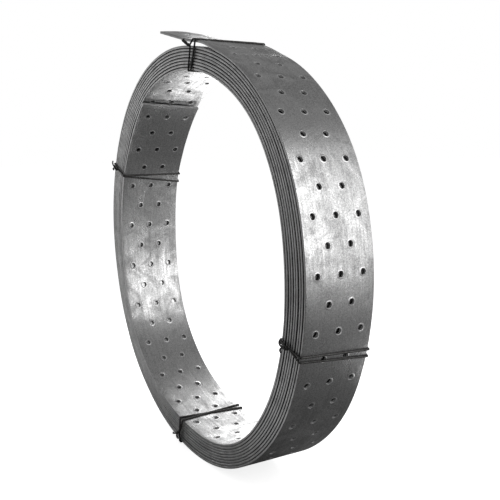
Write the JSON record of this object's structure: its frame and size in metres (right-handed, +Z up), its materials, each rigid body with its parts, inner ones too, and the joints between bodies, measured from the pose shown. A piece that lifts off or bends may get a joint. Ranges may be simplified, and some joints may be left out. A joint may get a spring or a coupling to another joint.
{
  "type": "coil of perforated metal strap",
  "caption": "Coil of galvanised flat steel strap punched with staggered nail holes, held by black wire ties and standing on its rim, with a short free outer end.",
  "frame": {"origin": "centre of the coil, on its axis and midway across the strap's width", "axes": "+Y along the coil's axis away from the ends of the wire ties, +Z up with the coil standing on its rim, +X to the right seen along +Y"},
  "size_m": [0.374, 0.0745, 0.3874],
  "materials": {
    "galvanised_strap": "hot-dip galvanised, dull with bright patches and fine lengthwise scratches",
    "tie_wire": "black annealed"
  },
  "bodies": {
    "root": {"strap_coil": "galvanised_strap", "tie_wire_top": "tie_wire", "tie_wire_left": "tie_wire", "tie_wire_bottom": "tie_wire", "tie_wire_right": "tie_wire"}
  },
  "joints": []
}
